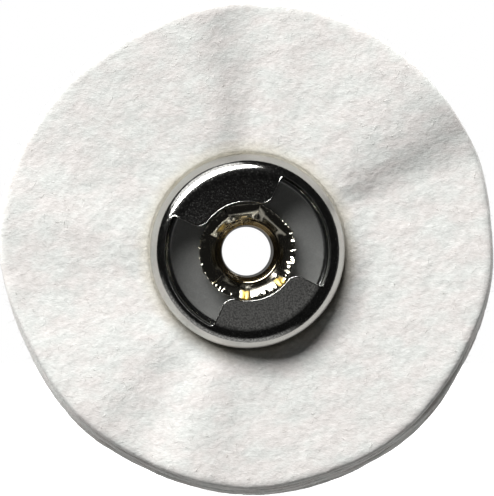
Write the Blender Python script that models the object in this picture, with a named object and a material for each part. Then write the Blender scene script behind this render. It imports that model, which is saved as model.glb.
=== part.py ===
"""A one-inch felt polishing wheel on a quick-change hub for a small rotary tool.

The wheel spins about the world Y axis, and its hub faces -Y. Every piece is modelled about its own Z axis,
with the front face of the felt at Z = 0 and the hub above it, and an empty on the spin axis turns the
whole wheel upright. Felt plies are threaded on a brass eyelet. Its head holds a washer against the last ply,
and its split end is splayed over the floor of a base cup. A drawn cap closes over that cup: its front is
pierced with a bow-tie opening, and its skirt is hemmed in under the cup.
"""

import math

import bmesh
import bpy

MM = 0.001
TURN = 2 * math.pi

# Felt
WHEEL_RADIUS = 12.7 * MM
PLY_COUNT = 8
PLY_PITCH = 0.40 * MM
PLY_THICKNESS = 0.37 * MM
PLY_BORE_RADIUS = 1.60 * MM
STACK_DEPTH = PLY_COUNT * PLY_PITCH
PLY_SEGMENTS = 64

# Clearance between pieces that rest on each other
GAP = 0.03 * MM

# Hub cap, a drawn cup with its closed end to the front
CAP_RADIUS = 5.05 * MM
CAP_HEIGHT = 2.00 * MM
CAP_SHEET = 0.35 * MM
CAP_SHOULDER = 1.25 * MM
HEM_RADIUS = 3.95 * MM
HEM_THICKNESS = 0.22 * MM
METAL_SEGMENTS = 48

# Bow-tie opening in the cap: two windows, with a lobe above and a lobe below
LOBE_ANGLE = math.radians(110)
WINDOW_HALF_ANGLE = math.radians(45.5)
LOBE_EDGE_RADIUS = 2.55 * MM
LOBE_CORNER = 0.70 * MM
WINDOW_RADIUS = 4.30 * MM
WINDOW_CORNER = 0.25 * MM
WINDOW_DEPTH = 1.15 * MM

# Base cup, which is trapped in the cap
CUP_RADIUS = 4.60 * MM
CUP_SHEET = 0.30 * MM
CUP_RIM_HEIGHT = 1.05 * MM
CUP_CORNER = 0.37 * MM
CUP_BORE_RADIUS = 1.85 * MM
CUP_FLOOR = 2 * GAP + HEM_THICKNESS

# Eyelet, drawn brass: a flat head at the back, a barrel, and an end split into petals
EYELET_SHEET = 0.22 * MM
EYELET_BORE_RADIUS = 1.30 * MM
EYELET_HEAD_RADIUS = 2.45 * MM
EYELET_HEAD_BEND = 0.30 * MM
# The flare's middle line, as (radius, height over the cup's floor): throat, funnel, crest and turned-down tip
EYELET_FLARE = [
    (1.47 * MM, -0.20 * MM),
    (1.72 * MM, 0.15 * MM),
    (1.95 * MM, 0.32 * MM),
    (2.20 * MM, 0.44 * MM),
    (2.33 * MM, 0.37 * MM),
    (2.40 * MM, 0.04 * MM),
]
PETAL_SPLIT_ANGLES = [math.radians(a) for a in (23, 75, 119, 156, 223, 267, 317)]
PETAL_SPLIT_WIDTH = 0.10 * MM
PETAL_ROOT_RADIUS = 1.80 * MM
PETAL_SPLIT_HEIGHT = 4.0 * MM

# Washer under the eyelet's head
WASHER_RADIUS = 4.90 * MM
WASHER_THICKNESS = 0.40 * MM
WASHER_BORE_RADIUS = 1.80 * MM
WASHER_SEAT_RADIUS = 2.60 * MM
WASHER_SEAT_DEPTH = 0.05 * MM
WASHER_EDGE = 0.12 * MM

# Levels along the spin axis
WASHER_BACK = -STACK_DEPTH - GAP - WASHER_THICKNESS
EYELET_BACK = WASHER_BACK + WASHER_SEAT_DEPTH - GAP - EYELET_SHEET
WHEEL_MIDDLE = (CAP_HEIGHT + EYELET_BACK) / 2


def clear_scene():
    for obj in list(bpy.data.objects):
        bpy.data.objects.remove(obj)


def plain_material(name, colour, roughness, metallic):
    """A Principled material with one colour."""
    material = bpy.data.materials.new(name)
    material.use_nodes = True
    shader = material.node_tree.nodes["Principled BSDF"]
    shader.inputs["Base Color"].default_value = (*colour, 1.0)
    shader.inputs["Roughness"].default_value = roughness
    shader.inputs["Metallic"].default_value = metallic
    material.diffuse_color = (*colour, 1.0)
    return material


def arc(centre, radius, start, end, steps):
    """Points on a circle from one angle to another, both ends included."""
    points = []
    for i in range(steps + 1):
        angle = start + (end - start) * i / steps
        points.append((centre[0] + radius * math.cos(angle), centre[1] + radius * math.sin(angle)))
    return points


def polar(radius, angle):
    return radius * math.cos(angle), radius * math.sin(angle)


def sheet_outline(middle_line, thickness):
    """The closed outline of a bent sheet, from its middle line: one side out, the other side back."""
    left, right = [], []
    last = len(middle_line) - 1
    for i, (r, z) in enumerate(middle_line):
        before = middle_line[max(i - 1, 0)]
        after = middle_line[min(i + 1, last)]
        along = math.hypot(after[0] - before[0], after[1] - before[1])
        across_r = -(after[1] - before[1]) / along * thickness / 2
        across_z = (after[0] - before[0]) / along * thickness / 2
        left.append((r + across_r, z + across_z))
        right.append((r - across_r, z - across_z))
    return left + right[::-1]


def mesh_object(name, bm, material, parent):
    """An object from bm, smooth but for its sharp edges."""
    bmesh.ops.recalc_face_normals(bm, faces=bm.faces)
    mesh = bpy.data.meshes.new(name)
    bm.to_mesh(mesh)
    bm.free()
    mesh.shade_smooth()
    mesh.set_sharp_from_angle(angle=math.radians(35))
    mesh.materials.append(material)
    obj = bpy.data.objects.new(name, mesh)
    obj.parent = parent
    bpy.context.collection.objects.link(obj)
    return obj


def turned(outline, segments):
    """A ring: the closed outline of (radius, height) points, spun a full turn about Z."""
    bm = bmesh.new()
    verts = [bm.verts.new((r, 0, z)) for r, z in outline]
    edges = [bm.edges.new((verts[i - 1], verts[i])) for i in range(len(verts))]
    bmesh.ops.spin(
        bm,
        geom=verts + edges,
        axis=(0, 0, 1),
        cent=(0, 0, 0),
        angle=TURN,
        steps=segments,
        use_merge=True,
    )
    return bm


def cut(obj, cutter):
    """Takes the cutter's shape out of obj, and hides the cutter."""
    cutter.hide_render = True
    cutter.display_type = "WIRE"
    boolean = obj.modifiers.new("cut_" + cutter.name, "BOOLEAN")
    boolean.operation = "DIFFERENCE"
    boolean.solver = "EXACT"
    boolean.object = cutter


def make_plies(material, parent):
    """Felt discs on one mesh, numbered from the front."""
    outline = [
        (PLY_BORE_RADIUS, -PLY_THICKNESS),
        (WHEEL_RADIUS, -PLY_THICKNESS),
        (WHEEL_RADIUS, 0),
        (PLY_BORE_RADIUS, 0),
    ]
    first = mesh_object("felt_ply_1", turned(outline, PLY_SEGMENTS), material, parent)
    for i in range(1, PLY_COUNT):
        ply = bpy.data.objects.new(f"felt_ply_{i + 1}", first.data)
        ply.location.z = -i * PLY_PITCH
        ply.parent = parent
        bpy.context.collection.objects.link(ply)


def cap_outline():
    """The cap's section: flat front, round shoulder, skirt, and the thinner hem at its foot.

    The front reaches further in than the bow-tie opening, which is pierced through it afterwards.
    """
    shoulder = (CAP_RADIUS - CAP_SHOULDER, CAP_HEIGHT - CAP_SHOULDER)
    inside = CAP_SHOULDER - CAP_SHEET
    hem_top = GAP + HEM_THICKNESS
    outer = arc(shoulder, CAP_SHOULDER, TURN / 4, 0, 6)
    inner = arc(shoulder, inside, 0, TURN / 4, 5)
    hole = LOBE_EDGE_RADIUS / 2
    foot = [(CAP_RADIUS, GAP + WASHER_EDGE), (CAP_RADIUS - WASHER_EDGE, GAP)]
    hem = [(HEM_RADIUS, GAP), (HEM_RADIUS, hem_top), (CAP_RADIUS - CAP_SHEET, hem_top)]
    return [(hole, CAP_HEIGHT), *outer, *foot, *hem, *inner, (hole, CAP_HEIGHT - CAP_SHEET)]


def bow_tie_outline():
    """The opening's edge, anticlockwise, as two windows joined by the lobes' round edges."""
    lobe_centre = LOBE_EDGE_RADIUS + LOBE_CORNER
    lobe_turn = math.asin(LOBE_CORNER / lobe_centre)
    window_centre = WINDOW_RADIUS - WINDOW_CORNER
    window_turn = math.asin(WINDOW_CORNER / window_centre)
    points = []
    for half in range(2):
        middle = LOBE_ANGLE + TURN / 4 + half * TURN / 2
        start = middle - WINDOW_HALF_ANGLE
        end = middle + WINDOW_HALF_ANGLE
        next_start = end + TURN / 2 - 2 * WINDOW_HALF_ANGLE
        corner = polar(lobe_centre, start - lobe_turn)
        points += arc(corner, LOBE_CORNER, start - lobe_turn + TURN / 2, start + TURN / 4, 4)
        corner = polar(window_centre, start + window_turn)
        points += arc(corner, WINDOW_CORNER, start - TURN / 4, start + window_turn, 3)
        points += arc((0, 0), WINDOW_RADIUS, start + window_turn, end - window_turn, 14)[1:]
        corner = polar(window_centre, end - window_turn)
        points += arc(corner, WINDOW_CORNER, end - window_turn, end + TURN / 4, 3)[1:]
        corner = polar(lobe_centre, end + lobe_turn)
        points += arc(corner, LOBE_CORNER, end - TURN / 4, end + lobe_turn - TURN / 2, 4)
        points += arc((0, 0), LOBE_EDGE_RADIUS, end + lobe_turn, next_start - lobe_turn, 10)[1:-1]
    return points


def make_cap(material, parent):
    """The drawn cap, with the bow-tie pierced through its front."""
    cap = mesh_object("hub_cap", turned(cap_outline(), METAL_SEGMENTS), material, parent)
    bm = bmesh.new()
    bottom = CAP_HEIGHT - WINDOW_DEPTH
    face = bm.faces.new([bm.verts.new((x, y, bottom)) for x, y in bow_tie_outline()])
    raised = bmesh.ops.extrude_face_region(bm, geom=[face])["geom"]
    top = [v for v in raised if isinstance(v, bmesh.types.BMVert)]
    bmesh.ops.translate(bm, verts=top, vec=(0, 0, 2 * WINDOW_DEPTH))
    cut(cap, mesh_object("bow_tie_cutter", bm, material, parent))


def make_base_cup(material, parent):
    """The shallow cup whose floor shows through the windows."""
    bend = CUP_CORNER + CUP_SHEET
    corner = (CUP_RADIUS - bend, CUP_FLOOR + bend)
    rim_top = CUP_RIM_HEIGHT
    outer = arc(corner, bend, -TURN / 4, 0, 4)
    inner = arc(corner, CUP_CORNER, 0, -TURN / 4, 4)
    floor_top = CUP_FLOOR + CUP_SHEET
    outline = [(CUP_BORE_RADIUS, CUP_FLOOR), *outer, (CUP_RADIUS, rim_top)]
    outline += [(CUP_RADIUS - CUP_SHEET, rim_top), *inner, (CUP_BORE_RADIUS, floor_top)]
    mesh_object("base_cup", turned(outline, METAL_SEGMENTS), material, parent)


def eyelet_middle_line():
    """The sheet's middle line: in along the head, up the barrel, out along the flare and down its tip."""
    barrel = EYELET_BORE_RADIUS + EYELET_SHEET / 2
    head = EYELET_BACK + EYELET_SHEET / 2
    bend = (barrel + EYELET_HEAD_BEND, head + EYELET_HEAD_BEND)
    floor_top = CUP_FLOOR + CUP_SHEET
    line = [(EYELET_HEAD_RADIUS, head)]
    line += arc(bend, EYELET_HEAD_BEND, TURN * 3 / 4, TURN / 2, 3)
    line += [(barrel, 0)]
    line += [(radius, floor_top + height) for radius, height in EYELET_FLARE]
    return line


def make_eyelet(material, parent):
    """The eyelet, with its splayed end split into petals."""
    outline = sheet_outline(eyelet_middle_line(), EYELET_SHEET)
    eyelet = mesh_object("eyelet", turned(outline, METAL_SEGMENTS), material, parent)
    length = EYELET_HEAD_RADIUS - PETAL_ROOT_RADIUS + EYELET_SHEET
    for i, angle in enumerate(PETAL_SPLIT_ANGLES):
        bm = bmesh.new()
        bmesh.ops.create_cube(bm, size=1)
        bmesh.ops.scale(bm, verts=bm.verts, vec=(length, PETAL_SPLIT_WIDTH, PETAL_SPLIT_HEIGHT))
        slot = mesh_object(f"petal_slot_{i + 1}", bm, material, parent)
        slot.rotation_euler.z = angle
        middle = polar(PETAL_ROOT_RADIUS + length / 2, angle)
        slot.location = (*middle, CUP_FLOOR + PETAL_SPLIT_HEIGHT / 2)
        cut(eyelet, slot)


def make_washer(material, parent):
    """The back washer, with its outer edges broken, and a shallow seat pressed into it for the eyelet's head."""
    back, front = WASHER_BACK, WASHER_BACK + WASHER_THICKNESS
    outline = [
        (WASHER_BORE_RADIUS, back + WASHER_SEAT_DEPTH),
        (WASHER_SEAT_RADIUS, back + WASHER_SEAT_DEPTH),
        (WASHER_SEAT_RADIUS + WASHER_SEAT_DEPTH, back),
        (WASHER_RADIUS - WASHER_EDGE, back),
        (WASHER_RADIUS, back + WASHER_EDGE),
        (WASHER_RADIUS, front - WASHER_EDGE),
        (WASHER_RADIUS - WASHER_EDGE, front),
        (WASHER_BORE_RADIUS, front),
    ]
    mesh_object("back_washer", turned(outline, METAL_SEGMENTS), material, parent)


def main():
    clear_scene()
    spin_axis = bpy.data.objects.new("spin_axis", None)
    spin_axis.rotation_euler.x = TURN / 4
    spin_axis.location.y = WHEEL_MIDDLE
    bpy.context.collection.objects.link(spin_axis)
    felt = plain_material("white_felt", (0.86, 0.855, 0.84), 0.95, 0.0)
    chrome = plain_material("bright_chrome", (0.62, 0.63, 0.64), 0.08, 1.0)
    nickel = plain_material("satin_nickel", (0.42, 0.42, 0.41), 0.35, 1.0)
    brass = plain_material("pale_brass", (0.76, 0.66, 0.42), 0.15, 1.0)
    make_plies(felt, spin_axis)
    make_cap(chrome, spin_axis)
    make_base_cup(nickel, spin_axis)
    make_eyelet(brass, spin_axis)
    make_washer(nickel, spin_axis)


main()
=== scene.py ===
# %% [markdown]
# # A felt polishing wheel on a quick-change hub
#
# This small wheel polishes stones and metal in a hand-held rotary tool. It is a stack of soft white felt
# discs, riveted between a metal hub and a washer, and the bow-tie opening in the hub locks onto the tool's
# mandrel with a quarter turn. The lesson rebuilds each piece around a measured model: the felt first, then
# the metal, then the finishes, the light and the camera.

# %% Load the measured model
import math

import bpy
import numpy as np
from mathutils import Matrix, Vector


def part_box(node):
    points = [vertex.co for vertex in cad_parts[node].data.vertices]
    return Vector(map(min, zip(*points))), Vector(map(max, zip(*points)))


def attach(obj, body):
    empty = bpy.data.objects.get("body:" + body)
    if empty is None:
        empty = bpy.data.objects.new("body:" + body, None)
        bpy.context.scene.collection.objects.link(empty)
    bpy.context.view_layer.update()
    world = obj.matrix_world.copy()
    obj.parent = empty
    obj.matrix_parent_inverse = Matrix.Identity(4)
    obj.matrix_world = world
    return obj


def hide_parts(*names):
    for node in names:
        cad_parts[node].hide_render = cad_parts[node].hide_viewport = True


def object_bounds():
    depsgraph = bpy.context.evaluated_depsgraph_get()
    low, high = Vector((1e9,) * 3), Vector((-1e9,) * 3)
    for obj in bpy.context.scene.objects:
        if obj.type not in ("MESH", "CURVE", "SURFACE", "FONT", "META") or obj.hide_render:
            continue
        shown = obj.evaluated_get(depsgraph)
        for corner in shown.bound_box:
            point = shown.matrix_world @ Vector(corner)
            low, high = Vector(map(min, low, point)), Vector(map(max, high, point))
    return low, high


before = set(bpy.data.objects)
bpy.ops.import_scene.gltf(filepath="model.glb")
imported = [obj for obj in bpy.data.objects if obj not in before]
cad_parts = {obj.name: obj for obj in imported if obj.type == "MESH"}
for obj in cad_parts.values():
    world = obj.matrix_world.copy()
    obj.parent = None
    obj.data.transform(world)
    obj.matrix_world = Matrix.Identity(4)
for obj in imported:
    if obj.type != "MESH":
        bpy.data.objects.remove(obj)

cad_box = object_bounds()
print("measured model from", cad_box[0], "to", cad_box[1])

# %% [markdown]
# ## Levels and radii
#
# The wheel spins about the world's Y axis and its hub faces -Y. A round piece is easier to make lying on a
# bench, spinning about Z with its front upwards, so each one is made that way and stood up at the end. A
# height on the bench is then minus the world's Y, and every level is read from the measured model.

# %% Read levels and radii from the model
MM = 0.001
TURN = 2 * math.pi


def front_of(node):
    """The bench height of a node's front."""
    return -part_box(node)[0][1]


def back_of(node):
    """The bench height of a node's back."""
    return -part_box(node)[1][1]


def radius_of(node):
    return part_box(node)[1][0]


PLIES = sorted(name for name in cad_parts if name.startswith("felt_ply_"))
WHEEL_RADIUS = radius_of(PLIES[0])
HUB_RADIUS = radius_of("hub_cap")
print(f"{len(PLIES)} felt discs of radius {WHEEL_RADIUS / MM:.2f} mm, hub {HUB_RADIUS / MM:.2f} mm")

# %% [markdown]
# ## Bench tools
#
# Almost everything here is turned: a section swept round the axis. By hand, that is a circle whose edge is
# extruded, resized and moved again and again. The tools below do exactly those steps, and they start by
# deselecting everything, because an operator acts on all that is selected.

# %% Select, modify and stand up
def use_only(piece):
    """Selects one piece and makes it the active one."""
    if bpy.context.mode != "OBJECT":
        bpy.ops.object.mode_set(mode="OBJECT")
    bpy.ops.object.select_all(action="DESELECT")
    if piece:
        piece.select_set(True)
        bpy.context.view_layer.objects.active = piece


def apply_modifier(piece, kind, **settings):
    """Adds a modifier with these settings, and applies it."""
    use_only(piece)
    modifier = piece.modifiers.new(kind.lower(), kind)
    for setting, value in settings.items():
        setattr(modifier, setting, value)
    bpy.ops.object.modifier_apply(modifier=modifier.name)


def clean_shell(piece):
    """Merges points that meet, and turns all faces outwards."""
    use_only(piece)
    bpy.ops.object.mode_set(mode="EDIT")
    bpy.ops.mesh.select_all(action="SELECT")
    bpy.ops.mesh.remove_doubles(threshold=0.0005 * MM)
    bpy.ops.mesh.normals_make_consistent(inside=False)
    bpy.ops.object.mode_set(mode="OBJECT")


def stand_up(piece, smooth_below=35):
    """Stands a piece on its rim with its front to -Y, and shades it smooth but for its sharp edges."""
    use_only(piece)
    piece.rotation_euler.x = TURN / 4
    bpy.ops.object.transform_apply(location=True, rotation=True, scale=True)
    bpy.ops.object.shade_smooth_by_angle(angle=math.radians(smooth_below))
    triangles = sum(len(face.vertices) - 2 for face in piece.data.polygons)
    print(piece.name, "stands up with", triangles, "triangles")


# %% Turn a section round the axis
def extrude_rings(rings):
    """Extrudes the selected ring through the rings that follow the first, each a (radius, height)."""
    for (radius, height), (next_radius, next_height) in zip(rings, rings[1:]):
        grow = next_radius / radius
        bpy.ops.mesh.extrude_edges_move()
        bpy.ops.transform.resize(value=(grow, grow, 1), center_override=(0, 0, 0))
        bpy.ops.transform.translate(value=(0, 0, next_height - height))


def turn_piece(name, section, segments, closed=True):
    """A ring turned from a section of (radius, height) points; a closed section ends where it began."""
    use_only(None)
    radius, height = section[0]
    bpy.ops.mesh.primitive_circle_add(vertices=segments, radius=radius, location=(0, 0, height))
    piece = bpy.context.object
    piece.name = piece.data.name = name
    bpy.ops.object.transform_apply(location=True, rotation=True, scale=True)
    bpy.ops.object.mode_set(mode="EDIT")
    bpy.ops.mesh.select_all(action="SELECT")
    extrude_rings(section + section[:1] if closed else section)
    clean_shell(piece)
    return piece


def arc(centre, radius, start, end, steps):
    """Points on a circle from one angle to another, both ends included."""
    angles = np.linspace(start, end, steps + 1)
    return [(centre[0] + radius * math.cos(a), centre[1] + radius * math.sin(a)) for a in angles]


def read_points(piece):
    points = np.empty(len(piece.data.vertices) * 3)
    piece.data.vertices.foreach_get("co", points)
    return points.reshape(-1, 3)


def write_points(piece, points):
    piece.data.vertices.foreach_set("co", points.ravel())
    piece.data.update()


# %% [markdown]
# ## How the felt lies
#
# The discs are gripped by the hub and free everywhere else. So the felt is flat and squeezed under the hub,
# bulges where the hub's foot bites into it, and is slightly dished beyond. It runs out to the rim in soft
# pleats and hollows, steep on one side and long on the other, and the discs part a little where the front
# one rides high. A cloth simulation of a thick stack of felt would only find some pleats of its own, so
# here they are listed: each has a direction, a width on either side and a height. A disc deeper in the
# stack follows less of them.

# %% The pleats and the lie of the stack
HUB_GRIP = HUB_RADIUS + 0.01 * MM
PLEAT_RADIUS = 8.3 * MM
# direction, width clockwise and anticlockwise of it (degrees), and height at PLEAT_RADIUS
PLEATS = [
    (20, 80, 15, -0.56 * MM),
    (34, 8, 51, 0.12 * MM),
    (79, 8, 7, 0.06 * MM),
    (103, 9.2, 12, 0.46 * MM),
    (173, 12.7, 17.6, 0.19 * MM),
    (224, 34, 17, 0.42 * MM),
    (254, 10.8, 11.5, 0.29 * MM),
    (294, 20, 15, -0.15 * MM),
]
DEEPEST_HOLLOW = -0.6 * MM
DISH_SLOPE = 0.05
# how far the felt swells at the hub's foot and at the washer, how much of it at once, and how soon the rest
FRONT_BITE = 0.52 * MM
BACK_BITE = -0.12 * MM
BITE_AT_ONCE = 0.84
BITE_WIDTH = 0.16 * MM
DEPTH_SHARE = 0.6


def smooth_step(value):
    value = np.clip(value, 0, 1)
    return value * value * (3 - 2 * value)


def degrees_from(angle, centre):
    """The angle from a direction, the short way round, in degrees; anticlockwise is positive."""
    return (np.degrees(angle) - centre + 180) % 360 - 180


def lift(radius, angle, depth):
    """How far a disc stands forward of its place under the hub; the depth goes from 0, front, to 1, back."""
    beyond = np.maximum(radius - HUB_GRIP, 0)
    swell = (beyond > 0) * (BITE_AT_ONCE + (1 - BITE_AT_ONCE) * smooth_step(beyond / BITE_WIDTH))
    uneven = 1 + 0.25 * np.cos(angle - math.radians(30))
    bite = swell * uneven * (FRONT_BITE + depth * (BACK_BITE - FRONT_BITE))
    reach = radius / PLEAT_RADIUS * smooth_step(0.38 + 0.62 * beyond / (1.7 * MM)) * (beyond > 0)
    pleats = 0
    for centre, width_before, width_after, height in PLEATS:
        away = degrees_from(angle, centre)
        width = np.where(away < 0, width_before, width_after)
        pleats = pleats + height * np.exp(-((away / width) ** 2))
    follow = DEEPEST_HOLLOW + (1 - DEPTH_SHARE * depth) * (pleats - DEEPEST_HOLLOW)
    return bite + DISH_SLOPE * beyond + reach * follow


print(len(PLEATS), "pleats, the highest", round(max(pleat[3] for pleat in PLEATS) / MM, 2), "mm")

# %% [markdown]
# ## The felt discs
#
# Each disc is one turned sheet with round edges, subdivided finely enough to carry the pleats. Its outline
# isn't a true circle: felt is cut with a soft edge and pulls out of shape, so a slow wave of its own is
# added to each disc's radius. Two Displace modifiers with cloud textures then give the surface its tufts
# and lumps, in real geometry, so that the light finds them from any side.

# %% Disc sections and outlines
FELT_BORE = 1.60 * MM
# how the whole wheel's outline departs from a circle: direction, width, amount
OUTLINE = [
    (22, 15, 0.24 * MM),
    (62, 17, 0.28 * MM),
    (110, 15, -0.05 * MM),
    (168, 16, 0.26 * MM),
    (205, 14, -0.26 * MM),
    (245, 22, -0.33 * MM),
    (290, 14, -0.14 * MM),
    (352, 10, 0.15 * MM),
]
# the rims of the first discs fall back in steps, so the stack's front edge is round
RIM_STEP = [0.06 * MM, 0.03 * MM, 0.01 * MM]
ROLL_WIDTH = 0.45 * MM
ROLL_DROP = 0.05 * MM
# the free stack leans: each disc's rim is shifted this way, from the front disc's shift to the back disc's
LEAN_DIRECTION = math.radians(275)
FRONT_LEAN, BACK_LEAN = -0.22 * MM, 0.26 * MM
slow_wave = np.random.default_rng(7)


def ring_radii(outer, fine):
    """Where a disc's flat side has its rings; a side that is seen has more, and most at the hub's foot."""
    if not fine:
        return [float(r) for r in np.linspace(FELT_BORE, outer, 8)]
    foot = [HUB_RADIUS + step * MM for step in (-0.15, 0.005, 0.015, 0.06, 0.12, 0.25)]
    return [FELT_BORE, 3.4 * MM, *foot, *(float(r) for r in np.linspace(HUB_RADIUS + 0.5 * MM, outer, 17))]


def disc_section(half, outer, fine_front, fine_back):
    """A flat sheet's section with a round outer edge: front, rim, back."""
    edge = 0.9 * half
    rim = [(outer - edge + edge * math.sin(a), half * math.cos(a)) for a in np.linspace(0, math.pi, 9)[1:-1]]
    front = [(r, half) for r in ring_radii(outer - edge, fine_front)]
    return front + rim + [(r, -half) for r in reversed(ring_radii(outer - edge, fine_back))]


def outline_change(angle, waves):
    """How far a disc's rim departs from a circle in each direction."""
    change = sum(amount * np.exp(-((degrees_from(angle, at) / width) ** 2)) for at, width, amount in OUTLINE)
    for count, (size, phase) in enumerate(waves, start=3):
        change = change + size * np.sin(count * angle + phase)
    return change


def lay_disc(piece, order, middle):
    """Gives a turned sheet its outline, and lays it at its place in the pleated stack."""
    points = read_points(piece)
    radius = np.hypot(points[:, 0], points[:, 1])
    angle = np.arctan2(points[:, 1], points[:, 0])
    waves = [(slow_wave.uniform(0.01, 0.045) * MM, slow_wave.uniform(0, TURN)) for _ in range(6)]
    setback = RIM_STEP[order] if order < len(RIM_STEP) else 0
    change = outline_change(angle, waves) - setback
    spread = smooth_step((radius - HUB_RADIUS) / (WHEEL_RADIUS - HUB_RADIUS))
    new_radius = radius + spread * change
    depth = order / (len(PLIES) - 1)
    swell = 1 + 0.25 * smooth_step((radius - HUB_GRIP) / (0.3 * MM))
    rim = new_radius - (WHEEL_RADIUS + change - ROLL_WIDTH)
    roll = ROLL_DROP * max(0, 1 - order / 3) * np.clip(rim / ROLL_WIDTH, 0, 1) ** 2
    thin = swell - 0.3 * np.clip(rim / ROLL_WIDTH, 0, 1) ** 2
    lean = spread * (FRONT_LEAN + depth * (BACK_LEAN - FRONT_LEAN))
    points[:, 0] = new_radius * np.cos(angle) + lean * math.cos(LEAN_DIRECTION)
    points[:, 1] = new_radius * np.sin(angle) + lean * math.sin(LEAN_DIRECTION)
    points[:, 2] = points[:, 2] * thin + middle + lift(radius, angle, depth) - roll
    write_points(piece, points)


# %% Make the felt discs
def cloud_texture(name, size):
    texture = bpy.data.textures.new(name, "CLOUDS")
    texture.noise_scale = size
    texture.noise_depth = 2
    return texture


FELT_LUMPS = cloud_texture("felt lumps", 1.3 * MM)
FELT_TUFTS = cloud_texture("felt tufts", 0.32 * MM)


def make_disc(order, node):
    """One felt disc; the outer two are seen face on, so they are made finer."""
    front, back = front_of(node), back_of(node)
    half = (front - back) / 2
    first, last = order == 0, order == len(PLIES) - 1
    seen = first or last
    disc = turn_piece(f"felt_disc_{order + 1}", disc_section(half, WHEEL_RADIUS, first, last), 128)
    use_only(disc)
    bpy.ops.object.mode_set(mode="EDIT")
    bpy.ops.mesh.select_all(action="SELECT")
    bpy.ops.mesh.subdivide(number_cuts=3 if seen else 2)
    bpy.ops.object.mode_set(mode="OBJECT")
    lay_disc(disc, order, (front + back) / 2)
    free = disc.vertex_groups.new(name="free of the hub")
    radii = np.hypot(*read_points(disc)[:, :2].T)
    for index in np.nonzero(radii > HUB_GRIP)[0]:
        free.add([int(index)], float(min(1, (radii[index] - HUB_GRIP) / (0.6 * MM))), "REPLACE")
    for texture, strength in ((FELT_LUMPS, 0.07 * MM), (FELT_TUFTS, 0.028 * MM)):
        apply_modifier(
            disc,
            "DISPLACE",
            texture=texture,
            texture_coords="LOCAL",
            strength=strength,
            mid_level=0.5,
            vertex_group=free.name,
        )
    disc.vertex_groups.clear()
    stand_up(disc, 180)
    return disc


discs = [make_disc(order, node) for order, node in enumerate(PLIES)]

# %% [markdown]
# ## Fuzz
#
# Loose fibres stand out of the felt, most of all at its cut rim. One fibre is turned with three sides and a
# taper, then doubled eleven times in place. Each copy is then laid along its own curve, from a root just
# under the felt: half of them on the rims, the rest nearly flat on the two faces that are seen.

# %% Grow the fuzz
FIBRE = 0.010 * MM
FIBRE_DOUBLINGS = 11
# the fibre's thickness, as a share of its widest, and where along it
FIBRE_TAPER = [(0.3, 0), (1, 0.02), (1, 0.25), (0.9, 0.45), (0.8, 0.62), (0.65, 0.78), (0.45, 0.9), (0.15, 1)]


def fibre_root(chance, number):
    """A root on the felt and the direction in which its fibre sets out."""
    angle = chance.uniform(0, TURN)
    round_about = Vector((math.cos(angle), 0, math.sin(angle)))
    if number % 2:
        disc = discs[chance.integers(len(discs))]
        aim = round_about * (WHEEL_RADIUS + 1 * MM)
        aim.y = -(front_of(PLIES[0]) + back_of(PLIES[-1])) / 2 + chance.uniform(-1.6, 1.6) * MM
        upright = chance.uniform(0.3, 0.8)
    else:
        disc = discs[0] if number % 8 else discs[-1]
        reach = math.sqrt(chance.uniform(0.2, 0.97))
        aim = round_about * WHEEL_RADIUS * reach
        aim.y = -8 * MM if disc is discs[0] else 8 * MM
        upright = chance.uniform(0.05, 0.3)
    _, root, normal, _ = disc.closest_point_on_mesh(aim)
    loose = Vector(chance.normal(0, 1, 3))
    along = (loose - loose.project(normal)).normalized()
    return root - normal * FIBRE / 2, (normal * upright + along * (1 - upright)).normalized(), normal


def make_fuzz():
    chance = np.random.default_rng(23)
    section = [(share * FIBRE / 2, height * MM) for share, height in FIBRE_TAPER]
    fuzz = turn_piece("felt_fuzz", section, 3, closed=False)
    bpy.ops.object.mode_set(mode="EDIT")
    bpy.ops.mesh.select_all(action="SELECT")
    bpy.ops.mesh.fill_holes(sides=0)
    for _ in range(FIBRE_DOUBLINGS):
        bpy.ops.mesh.select_all(action="SELECT")
        bpy.ops.mesh.duplicate()
    bpy.ops.mesh.normals_make_consistent(inside=False)
    bpy.ops.object.mode_set(mode="OBJECT")
    points = read_points(fuzz).reshape(2**FIBRE_DOUBLINGS, -1, 3)
    for number, fibre in enumerate(points):
        root, out, normal = fibre_root(chance, number)
        side = out.cross(Vector(chance.normal(0, 1, 3))).normalized()
        curl = (side * chance.uniform(-0.9, 0.9) - normal * chance.uniform(0, 0.35)) * 0.8
        length = chance.uniform(0.15, 0.5)
        share = fibre[:, 2] / MM
        line = np.outer(share, out) + np.outer(share**2, curl)
        across = np.outer(fibre[:, 0], side) + np.outer(fibre[:, 1], out.cross(side))
        points[number] = np.array(root) + line * length * MM + across
    write_points(fuzz, points.reshape(-1, 3))
    use_only(fuzz)
    bpy.ops.object.shade_smooth()
    print("fuzz:", len(points), "fibres,", len(fuzz.data.polygons), "faces")
    return fuzz


fuzz = make_fuzz()

# %% [markdown]
# ## The hub cap
#
# The real cap is pressed from a round blank: a flat front with a bow-tie pierced through it, a full round
# shoulder, and a skirt whose foot is turned in under the cup behind it. A boolean would leave a ragged edge
# on the shoulder. So the bow-tie is drawn as a loop and extruded ring by ring: over the rolled edge that
# the punch leaves, across the front to a true circle, down the skirt, round the hem and back up inside to
# where it began. Each ring is laid on points worked out beforehand, so the shoulder stays truly round and
# mirrors cleanly.

# %% Draw the bow-tie
CAP_SHEET = 0.35 * MM
SHOULDER = 1.25 * MM
LAND_RADIUS = HUB_RADIUS - SHOULDER
LOBE_DIRECTION = math.radians(109.8)
WINDOW_HALF = math.radians(45.4)
LOBE_RADIUS = 2.55 * MM
LOBE_CORNER = 0.62 * MM
WINDOW_RADIUS = 4.28 * MM
WINDOW_CORNER = 0.16 * MM


def polar(radius, angle):
    return radius * math.cos(angle), radius * math.sin(angle)


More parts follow.
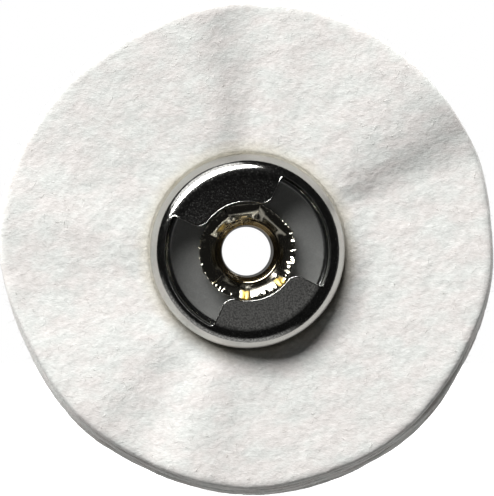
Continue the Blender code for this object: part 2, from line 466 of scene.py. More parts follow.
def window_edge(start, end):
    """One window's edge, from the lobe before it to the lobe after it."""
    lobe = LOBE_RADIUS + LOBE_CORNER
    lobe_turn = math.asin(LOBE_CORNER / lobe)
    corner = WINDOW_RADIUS - WINDOW_CORNER
    corner_turn = math.asin(WINDOW_CORNER / corner)
    outer_end = math.sqrt(corner**2 - WINDOW_CORNER**2)
    side = np.linspace(math.sqrt(lobe**2 - LOBE_CORNER**2), outer_end, 14)[1:-1]
    turned = start - lobe_turn
    edge = arc(polar(lobe, turned), LOBE_CORNER, turned + TURN / 2, start + TURN / 4, 12)
    edge += [polar(r, start) for r in side]
    edge += arc(polar(corner, start + corner_turn), WINDOW_CORNER, start - TURN / 4, start + corner_turn, 6)
    edge += arc((0, 0), WINDOW_RADIUS, start + corner_turn, end - corner_turn, 60)[1:-1]
    edge += arc(polar(corner, end - corner_turn), WINDOW_CORNER, end - corner_turn, end + TURN / 4, 6)
    edge += [polar(r, end) for r in side[::-1]]
    edge += arc(polar(lobe, end + lobe_turn), LOBE_CORNER, end - TURN / 4, end + lobe_turn - TURN / 2, 12)
    return edge


def bow_tie():
    """The whole opening, anticlockwise: a window, a lobe's edge, the other window, the other lobe's edge."""
    lobe_turn = math.asin(LOBE_CORNER / (LOBE_RADIUS + LOBE_CORNER))
    points = []
    for half in range(2):
        middle = LOBE_DIRECTION + TURN / 4 + half * TURN / 2
        start, end = middle - WINDOW_HALF, middle + WINDOW_HALF
        points += window_edge(start, end)
        points += arc((0, 0), LOBE_RADIUS, end + lobe_turn, start + TURN / 2 - lobe_turn, 30)[1:-1]
    return np.array(points)


print("bow-tie outline:", len(bow_tie()), "points")

# %% The cap's rings
EDGE_ROLL = 0.035 * MM
EDGE_BURR = 0.011 * MM
FRONT_DOME = 0.04 * MM
CIRCLE_RADIUS = 4.52 * MM
HEM_RADIUS, HEM_SHEET = 3.95 * MM, 0.22 * MM
# the shoulder's bend stops at this angle, and the skirt flares: each point's distance inside the hub's
# radius, and below the end of the bend, in mm
FLARE_ANGLE = 0.70
FLARED_SKIRT = [(0.21, 0.105), (0.14, 0.20), (0.08, 0.295), (0.04, 0.375), (0.015, 0.445), (0.002, 0.53)]


def cap_height(radius, bend):
    """The height of the cap's face: hardly domed, then round the shoulder with the bend given."""
    over = np.clip(radius - LAND_RADIUS, 0, bend)
    dome = FRONT_DOME * (np.minimum(radius, LAND_RADIUS) / LAND_RADIUS) ** 2
    return front_of("hub_cap") - SHOULDER - dome + np.sqrt(bend**2 - over**2)


def widened(outline, distance):
    """The opening's outline moved into the metal by a distance."""
    along = np.roll(outline, -1, axis=0) - np.roll(outline, 1, axis=0)
    along /= np.linalg.norm(along, axis=1)[:, None]
    return outline + distance * np.column_stack([along[:, 1], -along[:, 0]])


def circle_directions(outline):
    """A direction for each point of the outline, spread by its share of the outline's length."""
    steps = np.linalg.norm(np.roll(outline, -1, axis=0) - outline, axis=1)
    share = TURN * np.concatenate([[0], np.cumsum(steps)[:-1]]) / steps.sum()
    off = np.arctan2(outline[:, 1], outline[:, 0]) - share
    return share + math.atan2(np.sin(off).mean(), np.cos(off).mean())


def across_the_front(flat, directions, bend, steps):
    """Rings from the opening's outline to the circle, following the cap's face."""
    circle = CIRCLE_RADIUS * np.column_stack([np.cos(directions), np.sin(directions)])
    rings = []
    for share in np.linspace(0, 1, steps + 1):
        ring = flat + share * (circle - flat)
        rings.append(np.column_stack([ring, cap_height(np.hypot(*ring.T), bend)]))
    return rings


def turned_rings(section, directions):
    """A true circle of points for each (radius, height)."""
    x, y = np.cos(directions), np.sin(directions)
    return [np.column_stack([r * x, r * y, 0 * directions + z]) for r, z in section]


# %% Press the cap
def lay_ring(piece, before, after):
    """Extrudes the selected ring, which lies on some points, and lays the new ring on others."""
    count = len(piece.data.vertices)
    bpy.ops.mesh.extrude_edges_move()
    bpy.ops.object.mode_set(mode="OBJECT")
    points = read_points(piece)
    for index in range(count, len(points)):
        nearest = np.argmin(((before - points[index]) ** 2).sum(axis=1))
        points[index] = after[nearest]
    write_points(piece, points)
    bpy.ops.object.mode_set(mode="EDIT")


def cap_rings():
    """The rings of the whole cap: rolled edge, front, shoulder, skirt, hem, and back up inside."""
    outline = bow_tie()
    directions = circle_directions(outline)
    top, foot = front_of("hub_cap"), back_of("hub_cap")
    inner = SHOULDER - CAP_SHEET
    radius = np.hypot(*outline.T)
    face = cap_height(radius, SHOULDER)
    sheared = [np.column_stack([outline, face - share * CAP_SHEET]) for share in (0.9, 0.5)]
    edge = [(EDGE_ROLL - x, EDGE_BURR - EDGE_ROLL + y) for x, y in arc((0, 0), EDGE_ROLL, 0, TURN / 4, 5)]
    edge += [(EDGE_ROLL * (1 + s), EDGE_BURR * (1 + math.cos(math.pi * s)) / 2) for s in (0.25, 0.5, 0.75)]
    roll = []
    for inwards, above in edge:
        flat = widened(outline, inwards)
        roll.append(np.column_stack([flat, cap_height(np.hypot(*flat.T), SHOULDER) + above]))
    centre = (LAND_RADIUS, top - SHOULDER)
    reach = CIRCLE_RADIUS - LAND_RADIUS
    shoulder_centre = (LAND_RADIUS, top - SHOULDER - FRONT_DOME)
    skirt = arc(shoulder_centre, SHOULDER, math.acos(reach / SHOULDER), FLARE_ANGLE, 12)[1:]
    skirt += [(HUB_RADIUS - inset * MM, skirt[-1][1] - drop * MM) for inset, drop in FLARED_SKIRT]
    skirt += [(HUB_RADIUS, foot + 0.30 * MM), (HUB_RADIUS - 0.02 * MM, foot + 0.16 * MM)]
    skirt += arc((HUB_RADIUS - 0.14 * MM, foot + 0.12 * MM), 0.12 * MM, 0, -TURN / 4, 4)
    hem_top = foot + HEM_SHEET
    skirt += [(4.5 * MM, foot), (HEM_RADIUS, foot), (HEM_RADIUS, hem_top), (4.64 * MM, hem_top)]
    skirt += [(HUB_RADIUS - CAP_SHEET, foot + 0.28 * MM)]
    skirt += arc(centre, inner, 0, math.acos(reach / inner), 8)[:-1]
    front = across_the_front(widened(outline, 2 * EDGE_ROLL), directions, SHOULDER, 26)
    inside = across_the_front(outline, directions, inner, 8)[::-1]
    return sheared + roll + front + turned_rings(skirt, directions) + inside


def make_cap():
    rings = cap_rings()
    use_only(None)
    bpy.ops.mesh.primitive_circle_add(vertices=len(rings[0]), radius=LOBE_RADIUS, location=(0, 0, 0))
    cap = bpy.context.object
    cap.name = cap.data.name = "chromed_cap"
    write_points(cap, rings[0])
    bpy.ops.object.mode_set(mode="EDIT")
    bpy.ops.mesh.select_mode(type="EDGE")
    bpy.ops.mesh.select_all(action="SELECT")
    for before, after in zip(rings, rings[1:] + rings[:1]):
        lay_ring(cap, before, after)
    clean_shell(cap)
    stand_up(cap, 50)
    return cap


cap = make_cap()

# %% [markdown]
# ## The base cup
#
# Behind the windows lies a shallow pressed cup. Its floor stops the mandrel's cross bar, and its wall fills
# the cap's skirt. It is a plain turned piece: a closed section, with a round corner and a rolled lip.

# %% Turn the base cup
CUP_SHEET = 0.30 * MM
CUP_CORNER = 0.36 * MM


def make_cup():
    bottom, lip = back_of("base_cup"), front_of("base_cup")
    outer = radius_of("base_cup")
    bend = CUP_CORNER + CUP_SHEET
    centre = (outer - bend, bottom + bend)
    bore = 1.85 * MM
    lip_round = 0.11 * MM
    section = [(bore, bottom), (bore + 1.2 * MM, bottom)]
    section += arc(centre, bend, -TURN / 4, 0, 10)
    section += arc((outer - lip_round, lip - lip_round), lip_round, 0, TURN / 4, 4)
    section += arc((outer - CUP_SHEET + lip_round, lip - lip_round), lip_round, TURN / 4, TURN / 2, 4)
    section += arc(centre, CUP_CORNER, 0, -TURN / 4, 12)
    section += [(bore + 1.2 * MM, bottom + CUP_SHEET), (bore + 0.5 * MM, bottom + CUP_SHEET)]
    section += [(bore + 0.06 * MM, bottom + CUP_SHEET), (bore, bottom + CUP_SHEET - 0.06 * MM)]
    cup = turn_piece("nickel_cup", section, 192)
    stand_up(cup)
    return cup


cup = make_cup()

# %% [markdown]
# ## The eyelet
#
# The eyelet is a thin brass tube with a flat head at the back. To close it, the press splays its front end,
# which tears into petals: nearly flat leaves, each at its own angle, with ragged edges. So the tube is
# turned as an open sheet, and split along its length where the tears run. The petals are then flattened,
# opened and tilted one by one, and Solidify gives them their thickness.

# %% Turn the tube and its flare
EYELET_SHEET = 0.17 * MM
EYELET_SEGMENTS = 240
# each tear's direction and half width, and how the petal after it lies: the rise of its tip, its sideways
# lean, and how flat it is
PETALS = [
    (23, 0.020, 0.00, 0.04, 0.9),
    (75, 0.030, 0.02, -0.03, 0.9),
    (119, 0.030, -0.02, 0.03, 0.5),
    (156, 0.015, -0.02, 0.02, 0.4),
    (223, 0.015, 0.00, -0.05, 0.4),
    (267, 0.035, 0.00, 0.00, 0.4),
    (317, 0.036, 0.02, -0.06, 0.5),
]
TEARS = [math.radians(petal[0]) for petal in PETALS]
# the flare's middle line, radius and height over the cup's floor, in mm: the tool's ledges, funnel and lip
FLARE = [
    (1.440, -0.60), (1.445, -0.48), (1.465, -0.435), (1.510, -0.410), (1.525, -0.365), (1.530, -0.30),
    (1.550, -0.260), (1.600, -0.237), (1.615, -0.19), (1.620, -0.125), (1.640, -0.087), (1.690, -0.067),
    (1.715, -0.02), (1.745, 0.010), (1.80, 0.055), (1.86, 0.106), (1.92, 0.157), (1.98, 0.208), (2.04, 0.258),
    (2.11, 0.315), (2.20, 0.370), (2.28, 0.417), (2.36, 0.461), (2.42, 0.491), (2.46, 0.506), (2.49, 0.506),
]


def eyelet_rings(floor):
    """The sheet's middle line: in along the head, up the bore, and out along the flare to its torn edge."""
    back = back_of("eyelet") + EYELET_SHEET / 2
    head = radius_of("eyelet") - 0.5 * EYELET_SHEET
    bore, throat = 1.275 * MM + EYELET_SHEET / 2, 1.435 * MM
    rings = [(head, back + 0.03 * MM), (head - 0.12 * MM, back), (head - 0.5 * MM, back)]
    rings += arc((bore + 0.30 * MM, back + 0.30 * MM), 0.30 * MM, 0.75 * TURN, TURN / 2, 6)
    up = np.linspace(0, 1, 6)[1:]
    start, end = back + 0.5 * MM, floor - 0.75 * MM
    rings += [(bore + share * (throat - bore), start + share * (end - start)) for share in up]
    return rings + [(r * MM, floor + h * MM) for r, h in FLARE]


def tear_edges(piece, root):
    """Splits the sheet along each tear, from the root's height outwards."""
    points = read_points(piece)
    angle = np.arctan2(points[:, 1], points[:, 0])
    step = TURN / EYELET_SEGMENTS
    meridian = np.full(len(points), -1)
    for number, tear in enumerate(TEARS):
        nearest = round(tear / step) * step
        off = (angle - nearest + math.pi) % TURN - math.pi
        meridian[(np.abs(off) < step / 4) & (points[:, 2] > root)] = number
    use_only(piece)
    bpy.ops.object.mode_set(mode="EDIT")
    bpy.ops.mesh.select_all(action="DESELECT")
    bpy.ops.mesh.select_mode(type="EDGE")
    bpy.ops.object.mode_set(mode="OBJECT")
    for edge in piece.data.edges:
        a, b = edge.vertices
        edge.select = bool(meridian[a] >= 0 and meridian[a] == meridian[b])
    bpy.ops.object.mode_set(mode="EDIT")
    bpy.ops.mesh.edge_split(type="EDGE")
    bpy.ops.object.mode_set(mode="OBJECT")


# %% Open the petals
def side_angles(piece):
    """Each point's direction as its own faces see it, so the two sides of a tear can be told apart."""
    sums = np.zeros((len(piece.data.vertices), 2))
    for face in piece.data.polygons:
        for corner in face.vertices:
            sums[corner] += face.center.xy
    return np.arctan2(sums[:, 1], sums[:, 0])


def open_petals(piece, floor):
    """Flattens each petal, parts it from its neighbours, and gives it a tilt and a ragged edge of its own."""
    chance = np.random.default_rng(11)
    points = read_points(piece)
    radius = np.hypot(points[:, 0], points[:, 1])
    angle = np.arctan2(points[:, 1], points[:, 0])
    seen = side_angles(piece) % TURN
    height = points[:, 2] - floor
    flare = smooth_step((radius - 1.72 * MM) / (0.30 * MM)) * (height > -0.1 * MM)
    tip = smooth_step((radius - 2.05 * MM) / (0.38 * MM)) * (height > 0)
    ragged = chance.normal(0, 1, EYELET_SEGMENTS)
    notch = ragged[(np.round(angle / TURN * EYELET_SEGMENTS)).astype(int) % EYELET_SEGMENTS]
    new_radius, new_angle, torn = radius.copy(), angle.copy(), np.zeros(len(points))
    for number, (_, gap, rise, lean, flatness) in enumerate(PETALS):
        start = TEARS[number]
        span = (TEARS[(number + 1) % len(TEARS)] - start) % TURN
        middle, half = start + span / 2, span / 2
        mine = (seen - start) % TURN < span
        across = np.clip((angle - middle + math.pi) % TURN - math.pi, -half, half)
        leaf = math.cos(half * 0.6) / np.cos(across)
        new_radius += mine * flare * (flatness - 0.4 * tip) * radius * (leaf - 1)
        after = PETALS[(number + 1) % len(PETALS)][1]
        open_up = np.where(across < 0, gap, after) * MM
        side = np.clip(np.abs(across) / half, 0, 1) ** 8
        new_angle -= mine * tip * np.sign(across) * side * open_up / radius
        height += mine * tip * (rise * MM + chance.normal(0, 0.01 * MM))
        height += mine * tip * lean * across * radius
        new_radius += mine * tip * chance.normal(0, 0.015 * MM)
        near = smooth_step((np.abs(across) * radius - half * radius + 0.26 * MM) / (0.12 * MM))
        stretched = mine * near * (open_up > 0.034 * MM) * smooth_step((radius - 2.0 * MM) / (0.1 * MM))
        height += stretched * (0.05 + 0.03 * notch) * MM
        torn = np.maximum(torn, stretched)
    new_radius += tip**2 * np.clip(notch, -1.6, 1.2) * 0.032 * MM
    height -= tip**2 * 0.035 * MM * np.abs(notch)
    points[:, 0], points[:, 1] = new_radius * np.cos(new_angle), new_radius * np.sin(new_angle)
    points[:, 2] = np.where(tip > 0, np.maximum(height, EYELET_SHEET / 2 + 0.02 * MM), height) + floor
    write_points(piece, points)
    marks = piece.data.attributes.new("torn", "FLOAT", "POINT")
    marks.data.foreach_set("value", torn)


def make_eyelet():
    floor = back_of("base_cup") + CUP_SHEET
    eyelet = turn_piece("brass_eyelet", eyelet_rings(floor), EYELET_SEGMENTS, closed=False)
    tear_edges(eyelet, floor + 0.02 * MM)
    open_petals(eyelet, floor)
    apply_modifier(eyelet, "SOLIDIFY", thickness=EYELET_SHEET, offset=0)
    sharp = math.radians(60)
    apply_modifier(eyelet, "BEVEL", width=0.02 * MM, segments=2, limit_method="ANGLE", angle_limit=sharp)
    stand_up(eyelet, 40)
    return eyelet


eyelet = make_eyelet()

# %% [markdown]
# ## The back washer
#
# The washer spreads the eyelet's pull over the felt. It is stamped, so one edge is rolled over by the punch
# and the other is left crisp with a fine burr. The eyelet's head has pressed a shallow round seat into its
# back.

# %% Turn the back washer
def make_washer():
    back, front = back_of("back_washer"), front_of("back_washer")
    outer, bore = radius_of("back_washer"), 1.80 * MM
    roll, crisp = 0.16 * MM, 0.04 * MM
    seat, seat_radius = back + 0.05 * MM, 2.60 * MM
    flat_radius = 3.3 * MM
    section = [(bore + crisp, seat), (seat_radius - 0.03 * MM, seat)]
    section += [(seat_radius + 0.02 * MM, back), (flat_radius, back)]
    section += arc((outer - roll, back + roll), roll, -TURN / 4, 0, 6)
    section += arc((outer - crisp, front - crisp), crisp, 0, TURN / 4, 2)
    section += [(flat_radius, front), (bore + crisp, front), (bore, front - crisp), (bore, seat + crisp)]
    washer = turn_piece("nickel_washer", section, 160)
    stand_up(washer)
    return washer


washer = make_washer()

# %% [markdown]
# ## Finishes: felt
#
# White felt is nearly matt. What tells the eye that it is felt is the direction of its fibres: short
# streaks that lean to one side, finer ones over them, and a soft unevenness in tone. All of it is built
# from noise stretched along the lie of the fibres, read in Object coordinates, so it doesn't slide from one
# view to the next.

# %% Material helpers
def new_finish(name):
    """A material with its node tree, its main shader, and Object coordinates."""
    material = bpy.data.materials.new(name)
    material.use_nodes = True
    nodes = material.node_tree.nodes
    links, shader = material.node_tree.links, nodes["Principled BSDF"]
    return material, nodes, links, shader, nodes.new("ShaderNodeTexCoord")


def set_inputs(node, **values):
    for name, value in values.items():
        node.inputs[name.replace("_", " ")].default_value = value
    return node


def stretched_noise(nodes, links, coords, turn, stretch, scale, detail=3.0):
    """Noise whose grain is drawn out along one direction."""
    mapping = nodes.new("ShaderNodeMapping")
    mapping.vector_type = "TEXTURE"
    mapping.inputs["Rotation"].default_value = turn
    mapping.inputs["Scale"].default_value = stretch
    texture = set_inputs(nodes.new("ShaderNodeTexNoise"), Scale=scale, Detail=detail, Roughness=0.6)
    links.new(coords.outputs["Object"], mapping.inputs["Vector"])
    links.new(mapping.outputs["Vector"], texture.inputs["Vector"])
    return texture


def calculate(nodes, links, operation, first, second=None, third=None, clamp=False):
    """A Math node; each operand is a socket or a number."""
    node = nodes.new("ShaderNodeMath")
    node.operation = operation
    node.use_clamp = clamp
    for socket, operand in zip(node.inputs, (first, second, third)):
        if isinstance(operand, (int, float)):
            socket.default_value = operand
        elif operand is not None:
            links.new(operand, socket)
    return node.outputs[0]


def colour_between(nodes, links, factor, dark, light):
    """A colour that goes from dark to light as the factor goes from 0 to 1."""
    mix = nodes.new("ShaderNodeMix")
    mix.data_type = "RGBA"
    links.new(factor, mix.inputs["Factor"])
    mix.inputs[6].default_value = (*dark, 1)
    mix.inputs[7].default_value = (*light, 1)
    return mix.outputs[2]


# %% The felt's grains and colours
# noise cells per metre, from the finest fibres to the soft patches of tone
FIBRE_GRAIN, TUFT_GRAIN, PATCH_GRAIN = 14000, 4600, 900
# each the dark and the light end of a range; the last is a ring painted round the hub: a warm painted
# reflection of the hub's metal, darker as painted shade at the hub's foot
COOL_WHITE = (0.78, 0.79, 0.758), (0.935, 0.945, 0.91)
WARM_WHITE = (0.81, 0.775, 0.742), (0.962, 0.925, 0.895)
PAINTED_HUB_RING = (0.66, 0.62, 0.52), (0.80, 0.76, 0.66)
# how far the painted ring of reflection and shade goes beyond the hub, how unevenly, and how sharply it ends
HUB_RING_REACH, HUB_RING_UNEVEN, HUB_RING_SHARPNESS = 0.5 * MM, 0.7 * MM, 1100


def from_axis(nodes, links, coords):
    """The distance from the spin axis, in metres."""
    flat = nodes.new("ShaderNodeVectorMath")
    flat.operation = "MULTIPLY"
    flat.inputs[1].default_value = (1, 0, 1)
    length = nodes.new("ShaderNodeVectorMath")
    length.operation = "LENGTH"
    links.new(coords.outputs["Object"], flat.inputs[0])
    links.new(flat.outputs["Vector"], length.inputs[0])
    return length.outputs["Value"]


def mixed_colours(nodes, links, factor, first, second):
    """Two colour sockets mixed by a factor socket."""
    mix = nodes.new("ShaderNodeMix")
    mix.data_type = "RGBA"
    links.new(factor, mix.inputs[0])
    links.new(first, mix.inputs[6])
    links.new(second, mix.inputs[7])
    return mix.outputs[2]


# %% White felt
def felt_finish():
    material, nodes, links, shader, coords = new_finish("white needled felt")
    lean, cross_lean = (0, math.radians(-14), 0), (0, math.radians(14), 0)
    streaks = stretched_noise(nodes, links, coords, lean, (1.5, 1, 1), TUFT_GRAIN, 5)
    fibres = stretched_noise(nodes, links, coords, cross_lean, (2.4, 1, 1), FIBRE_GRAIN, 3)
    patches = stretched_noise(nodes, links, coords, lean, (1.6, 1, 1), PATCH_GRAIN, 2)
    tone = calculate(nodes, links, "MULTIPLY_ADD", streaks.outputs["Fac"], 2.6, -1.8)
    tone = calculate(nodes, links, "MULTIPLY_ADD", fibres.outputs["Fac"], 2.0, tone, clamp=True)
    cool = colour_between(nodes, links, tone, *COOL_WHITE)
    warm = colour_between(nodes, links, tone, *WARM_WHITE)
    patchy = calculate(nodes, links, "MULTIPLY_ADD", patches.outputs["Fac"], 4.0, -1.5, clamp=True)
    plain = mixed_colours(nodes, links, patchy, cool, warm)
    # painted light: a warm ring round the hub, a painted reflection of its metal, darker as painted shade at
    # its foot
    painted_ring_colour = colour_between(nodes, links, tone, *PAINTED_HUB_RING)
    nearest = HUB_RADIUS + HUB_RING_REACH
    reach = calculate(nodes, links, "MULTIPLY_ADD", patches.outputs["Fac"], HUB_RING_UNEVEN, nearest)
    painted_ring_mask = calculate(nodes, links, "SUBTRACT", reach, from_axis(nodes, links, coords))
    painted_ring_mask = calculate(nodes, links, "MULTIPLY", painted_ring_mask, HUB_RING_SHARPNESS, clamp=True)
    links.new(mixed_colours(nodes, links, painted_ring_mask, plain, painted_ring_colour), shader.inputs["Base Color"])
    set_inputs(shader, Roughness=0.95, Sheen_Weight=0.15, Sheen_Roughness=0.5)
    shader.inputs["Specular IOR Level"].default_value = 0.15
    relief = calculate(nodes, links, "MULTIPLY_ADD", fibres.outputs["Fac"], 0.5, streaks.outputs["Fac"])
    bump = set_inputs(nodes.new("ShaderNodeBump"), Strength=0.5, Distance=0.055 * MM)
    links.new(relief, bump.inputs["Height"])
    links.new(bump.outputs["Normal"], shader.inputs["Normal"])
    return material


FELT = felt_finish()
print("finish:", FELT.name)

# %% [markdown]
# ## Finishes: metals
#
# The cap is bright chrome over drawn steel: nearly a mirror, with a fine orange peel, pits and hairline
# scratches that only show where a light is reflected. The cup and the washer are dull nickel. The eyelet is
# plated brass: a warm silver, and yellow where the press tore it.

# %% Chrome, nickel and brass
def speckled_metal(name, colour, roughness, speckle, grain, relief):
    """A metal with an orange peel, fine pits and hairlines, in its roughness and its relief."""
    material, nodes, links, shader, coords = new_finish(name)
    peel = stretched_noise(nodes, links, coords, (0, 0, 0), (1, 1, 1), grain, 2)
    pits = stretched_noise(nodes, links, coords, (0, 0, 0), (1, 1, 1), grain * 1.7, 3)
    hairlines = stretched_noise(nodes, links, coords, (0, math.radians(35), 0), (14, 3, 1), grain * 0.8, 2)
    spots = calculate(nodes, links, "MULTIPLY_ADD", pits.outputs["Fac"], 7.0, -4.1, clamp=True)
    lines = calculate(nodes, links, "MULTIPLY_ADD", hairlines.outputs["Fac"], 6.0, -3.9, clamp=True)
    marks = calculate(nodes, links, "MAXIMUM", spots, lines)
    dulled = calculate(nodes, links, "MULTIPLY_ADD", marks, 0.12, roughness, clamp=True)
    links.new(dulled, shader.inputs["Roughness"])
    # 1 over the flat land, which gets rubbed, and 0 from 4.73 mm out, over the shoulder
    worn = calculate(nodes, links, "MULTIPLY_ADD", from_axis(nodes, links, coords), -9000, 42.6, clamp=True)
    grains = calculate(nodes, links, "MULTIPLY_ADD", pits.outputs["Fac"], 4.0, -2.0)
    grains = calculate(nodes, links, "MULTIPLY_ADD", grains, worn, 0.5, clamp=True)
    dim, bright = [(1 - speckle) * part for part in colour], [(1 + 0.7 * speckle) * part for part in colour]
    links.new(colour_between(nodes, links, grains, dim, bright), shader.inputs["Base Color"])
    shader.inputs["Metallic"].default_value = 1.0
    height = calculate(nodes, links, "MULTIPLY_ADD", marks, -0.2, peel.outputs["Fac"])
    bump = set_inputs(nodes.new("ShaderNodeBump"), Strength=1.0, Distance=relief)
    links.new(height, bump.inputs["Height"])
    links.new(bump.outputs["Normal"], shader.inputs["Normal"])
    return material


def nickel_finish():
    """Dull nickel, burnished where the press rounds it, outside the floor that the mandrel turns on."""
    material = speckled_metal("dull nickel", (0.45, 0.455, 0.44), 0.45, 0.06, 7000, 0.002 * MM)
    nodes, links = material.node_tree.nodes, material.node_tree.links
    shader = nodes["Principled BSDF"]
    coords = next(node for node in nodes if node.type == "TEX_COORD")
    outside = calculate(nodes, links, "MULTIPLY_ADD", from_axis(nodes, links, coords), 12000, -47, clamp=True)
    dull = shader.inputs["Roughness"].links[0].from_socket
    links.new(calculate(nodes, links, "MULTIPLY_ADD", outside, -0.30, dull), shader.inputs["Roughness"])
    return material


def brass_finish():
    """Plated brass: silvery on the petals, raw yellow where it is torn, and golden down the bore, darkened
    there as painted shade.
    """
    material = speckled_metal("plated brass", (0.74, 0.69, 0.57), 0.10, 0.15, 7000, 0.003 * MM)
    nodes, links = material.node_tree.nodes, material.node_tree.links
    shader = nodes["Principled BSDF"]
    coords = next(node for node in nodes if node.type == "TEX_COORD")
    # towards the axis the colour turns dark golden brown: the brass's golden tone with painted shade in the
    # bore
    inwards = calculate(nodes, links, "MULTIPLY_ADD", from_axis(nodes, links, coords), -3000, 5.6, clamp=True)
    plated = colour_between(nodes, links, inwards, (0.74, 0.70, 0.59), (0.30, 0.245, 0.15))
    raw = nodes.new("ShaderNodeRGB")
    raw.outputs[0].default_value = (0.86, 0.62, 0.18, 1)
    torn = nodes.new("ShaderNodeAttribute")
    torn.attribute_name = "torn"
    colour = mixed_colours(nodes, links, torn.outputs["Fac"], plated, raw.outputs[0])
    links.new(colour, shader.inputs["Base Color"])
    smooth = shader.inputs["Roughness"].links[0].from_socket
    rougher = calculate(nodes, links, "MULTIPLY_ADD", torn.outputs["Fac"], 0.38, smooth)
    links.new(rougher, shader.inputs["Roughness"])
    return material


# %% Mix the metals and give every piece its finish
CHROME = speckled_metal("bright chrome", (0.58, 0.575, 0.55), 0.10, 0.45, 6500, 0.0022 * MM)
NICKEL = nickel_finish()
BRASS = brass_finish()

for disc in discs:
    disc.data.materials.append(FELT)
fuzz.data.materials.append(FELT)
cap.data.materials.append(CHROME)
cup.data.materials.append(NICKEL)
washer.data.materials.append(NICKEL)
eyelet.data.materials.append(BRASS)
print("finishes:", CHROME.name, NICKEL.name, BRASS.name)

# %% [markdown]
# ## Tell the frame what each piece stands for
#
# The whole wheel is one rigid body, so every piece rides on the root, and each hides the measured part
# that it stands in for. The felt discs are sheets, cut as rings 25.4 mm across with a hole for the eyelet.

# %% Ride and replace
PIECES = {"hub_cap": cap, "base_cup": cup, "eyelet": eyelet, "back_washer": washer}
for node, piece in PIECES.items():
    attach(piece, "root")
    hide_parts(node)

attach(fuzz, "root")

for order, (node, disc) in enumerate(zip(PLIES, discs)):
    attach(disc, "root")
    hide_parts(node)
print(len(PIECES), "metal pieces,", len(discs), "felt sheets and the fuzz ride on the root")

# %% [markdown]
# ## Floor and lamps
#
# A bright metal part on white needs few lamps: one soft box, high on the left and in front, with a little
# spill beside it that rounds the shoulder's highlight, and a softer one behind for the back of the wheel.
# The floor is pale and plain, and the chrome doesn't mirror it.

# %% Floor
FLOOR_HEIGHT = cad_box[0][2] - 0.25 * MM


def make_floor():
    use_only(None)
    bpy.ops.mesh.primitive_plane_add(size=0.7, location=(0, 0, FLOOR_HEIGHT))
    floor = bpy.context.object
    floor.name = "floor"
    material, nodes, links, shader, coords = new_finish("pale floor")
    set_inputs(shader, Roughness=0.9, Emission_Strength=0.35)
    shader.inputs["Base Color"].default_value = (0.9, 0.9, 0.9, 1)
    shader.inputs["Emission Color"].default_value = (1, 1, 1, 1)
    floor.data.materials.append(material)
    floor.visible_glossy = False
    floor.visible_diffuse = False


make_floor()

# %% Lights
def soft_box(name, around, tilt, distance, size, watts):
    """An oval lamp: around is its direction seen from the front, tilt its angle from the axis, in degrees."""
    around, tilt = math.radians(around), math.radians(tilt)
    lamp = bpy.data.lights.new(name, "AREA")
    lamp.shape = "ELLIPSE"
    lamp.size, lamp.size_y = size
    lamp.energy = watts
    box = bpy.data.objects.new(name, lamp)
    outwards = Vector((math.sin(tilt) * math.cos(around), -math.cos(tilt), math.sin(tilt) * math.sin(around)))
    across = Vector((-math.sin(around), 0, math.cos(around)))
    box.matrix_world = Matrix((across, outwards.cross(across), outwards)).transposed().to_4x4()
    box.location = outwards * distance
    bpy.context.collection.objects.link(box)
    box.visible_camera = False
    return box


soft_box("key soft box", 118, 55, 0.60, (0.70, 0.20), 6.4)
soft_box("spill beside it", 121, 74, 0.60, (0.64, 0.22), 0.45)
soft_box("back soft box", 60, 130, 0.60, (0.40, 0.40), 2.6)

# %% [markdown]
# ## The world around
#
# The background is white to the eye, but white all round would wash out the felt and fill the chrome. The
# Light Path node tells what kind of ray asks, so metal finds a dark room with a grey card, a glow low
# behind the wheel and little else, and felt finds a soft light from the sides.

# %% World
# how bright the parts of the room are in the metal, and how much light from around reaches the felt
ROOM, CARD, BEHIND, HORIZON = 0.010, 0.12, 0.12, 0.35
FELT_LIGHT, FELT_SHADE = 0.9, 0.02


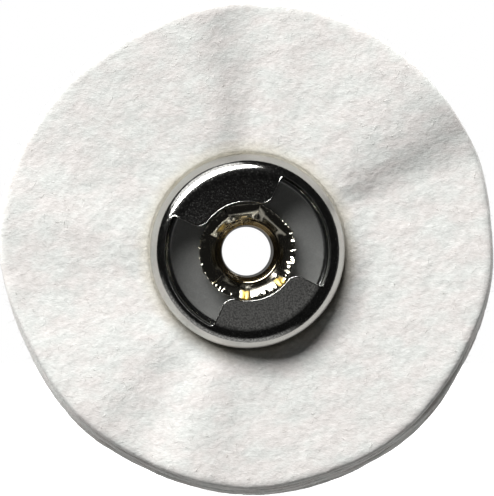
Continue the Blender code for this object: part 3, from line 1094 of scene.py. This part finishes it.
def make_world():
    """White to the eye and dim to the felt; metal mirrors a dark room, a grey card and a glow low behind."""
    world = bpy.data.worlds.new("studio")
    bpy.context.scene.world = world
    world.use_nodes = True
    nodes, links = world.node_tree.nodes, world.node_tree.links
    background = nodes["Background"]
    rays = nodes.new("ShaderNodeLightPath")
    coords = nodes.new("ShaderNodeTexCoord")
    split = nodes.new("ShaderNodeSeparateXYZ")
    links.new(coords.outputs["Generated"], split.inputs[0])
    below = calculate(nodes, links, "MULTIPLY_ADD", split.outputs["Z"], -40, 0.5, clamp=True)
    ahead = calculate(nodes, links, "MULTIPLY_ADD", split.outputs["Y"], -6, -4.9, clamp=True)
    card = calculate(nodes, links, "MULTIPLY", below, ahead)
    behind = calculate(nodes, links, "MULTIPLY_ADD", split.outputs["Y"], 4, 0.1, clamp=True)
    mirror = calculate(nodes, links, "MULTIPLY_ADD", card, CARD, ROOM)
    mirror = calculate(nodes, links, "MULTIPLY_ADD", behind, BEHIND, mirror)
    level = calculate(nodes, links, "MULTIPLY_ADD", split.outputs["Y"], 5, 1.9, clamp=True)
    towards = calculate(nodes, links, "MULTIPLY", split.outputs["X"], -0.34)
    towards = calculate(nodes, links, "MULTIPLY_ADD", split.outputs["Z"], -0.94, towards)
    towards = calculate(nodes, links, "MULTIPLY_ADD", towards, 4, -2.2, clamp=True)
    horizon = calculate(nodes, links, "MULTIPLY", level, towards)
    mirror = calculate(nodes, links, "MULTIPLY_ADD", horizon, HORIZON, mirror)
    glossy = calculate(nodes, links, "MULTIPLY", rays.outputs["Is Glossy Ray"], mirror)
    around = calculate(nodes, links, "MULTIPLY_ADD", split.outputs["Y"], 2.5, 0.8, clamp=True)
    fade = calculate(nodes, links, "MULTIPLY_ADD", split.outputs["Y"], -0.85, 1.0, clamp=True)
    around = calculate(nodes, links, "MULTIPLY", around, fade)
    glow = calculate(nodes, links, "MULTIPLY_ADD", around, FELT_LIGHT, FELT_SHADE)
    diffuse = calculate(nodes, links, "MULTIPLY", rays.outputs["Is Diffuse Ray"], glow)
    light = calculate(nodes, links, "ADD", glossy, diffuse)
    strength = calculate(nodes, links, "ADD", light, rays.outputs["Is Camera Ray"])
    links.new(strength, background.inputs["Strength"])
    background.inputs["Color"].default_value = (1, 1, 1, 1)


make_world()

# %% [markdown]
# ## Camera
#
# The camera looks along the spin axis, from less than a degree to the left, through a long lens, so that
# the stack keeps its round outline.

# %% Camera
CAMERA_DISTANCE = 0.30
SENSOR_WIDTH = 36
SIDE_LOOK = math.radians(0.85)
FRAME_HEIGHT = 25.85 * MM
AIM_HEIGHT = 0.167 * MM


def make_camera():
    lens = bpy.data.cameras.new("camera")
    lens.sensor_width = SENSOR_WIDTH
    lens.lens = SENSOR_WIDTH * CAMERA_DISTANCE / FRAME_HEIGHT
    camera = bpy.data.objects.new("camera", lens)
    sideways, back = math.sin(SIDE_LOOK) * CAMERA_DISTANCE, math.cos(SIDE_LOOK) * CAMERA_DISTANCE
    camera.location = (-sideways, -back, AIM_HEIGHT)
    camera.rotation_euler = (TURN / 4, 0, -SIDE_LOOK)
    bpy.context.collection.objects.link(camera)
    bpy.context.scene.camera = camera


make_camera()
print("camera frames", round(FRAME_HEIGHT / MM, 2), "mm from", CAMERA_DISTANCE, "m")
bpy.context.scene.view_settings.view_transform = "Standard"
